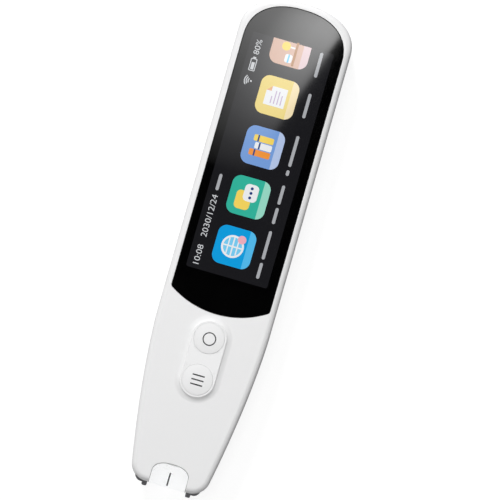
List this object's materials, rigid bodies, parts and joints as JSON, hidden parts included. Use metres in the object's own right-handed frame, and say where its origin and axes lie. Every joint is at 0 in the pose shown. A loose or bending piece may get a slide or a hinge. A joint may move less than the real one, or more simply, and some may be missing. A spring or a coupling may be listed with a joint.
{
  "type": "scanning pen",
  "caption": "Handheld scanning pen with a touch screen, round keys, a speaker grille, a charging socket and a sprung scanning tip with a clear sight window.",
  "frame": {"origin": "middle of the pen's length and width, on the surface that its back lies on", "axes": "+Z out of the screen, +Y towards the end with the charging socket, +X across the pen"},
  "size_m": [0.0342, 0.15, 0.014],
  "materials": {
    "white_plastic": "smooth glossy white moulding",
    "key_plastic": "smooth satin white keys",
    "liner_plastic": "matte dark grey moulding",
    "black_plastic": "matte black moulding",
    "screen_glass": "polished black-backed cover glass",
    "clear_plastic": "polished clear moulding",
    "display": "glossy display face",
    "flex": "amber film",
    "silicone": "matte silicone",
    "circuit_board": "green solder mask",
    "steel": "bright stamped metal",
    "ceramic": "off-white ceramic and nylon",
    "battery_foil": "satin foil pouch",
    "red_wire": "red insulation",
    "lamp": "yellow phosphor"
  },
  "bodies": {
    "casing": {"front_shell": "white_plastic", "rear_shell": "white_plastic", "cover_glass": "screen_glass", "display_panel": "display", "display_flex": "flex", "display_connector": "black_plastic", "button_island": "key_plastic", "button_gasket": "silicone", "home_switch": "black_plastic", "menu_switch": "black_plastic", "main_board": "circuit_board", "processor_shield": "steel", "memory_chip": "black_plastic", "power_chip": "black_plastic", "wifi_antenna": "ceramic", "board_screw_1": "steel", "board_screw_2": "steel", "board_screw_3": "steel", "board_screw_4": "steel", "usb_shell": "steel", "usb_tongue": "black_plastic", "battery_cell": "battery_foil", "battery_lead_red": "red_wire", "battery_lead_black": "black_plastic", "battery_plug": "ceramic", "speaker": "steel", "speaker_gasket": "silicone", "speaker_mesh": "black_plastic", "microphone": "steel", "sight_window": "clear_plastic", "tip_spring_left": "steel", "tip_spring_right": "steel", "tip_switch": "black_plastic", "optics_frame": "black_plastic", "camera_module": "black_plastic", "camera_lens": "clear_plastic", "camera_cable": "flex", "light_board": "circuit_board", "light_left": "lamp", "light_right": "lamp", "optics_window": "clear_plastic"},
    "home_key": {"home_button": "key_plastic", "home_switch_plunger": "steel"},
    "menu_key": {"menu_button": "key_plastic", "menu_switch_plunger": "steel"},
    "scanning_tip": {"tip_liner": "liner_plastic", "tip_switch_plunger": "steel"}
  },
  "joints": [
    {"name": "home_press", "type": "slide", "parent": "casing", "child": "home_key", "axis": [0, 0, -1], "range_m": [0, 0.0004], "stiffness_N_per_m": 150, "springref_m": -0.002},
    {"name": "menu_press", "type": "slide", "parent": "casing", "child": "menu_key", "axis": [0, 0, -1], "range_m": [0, 0.0004], "stiffness_N_per_m": 150, "springref_m": -0.002},
    {"name": "tip_press", "type": "slide", "parent": "casing", "child": "scanning_tip", "axis": [0, 1, 0], "range_m": [0, 0.001], "stiffness_N_per_m": 400, "springref_m": -0.002, "deforming": ["tip_spring_left", "tip_spring_right"]}
  ]
}
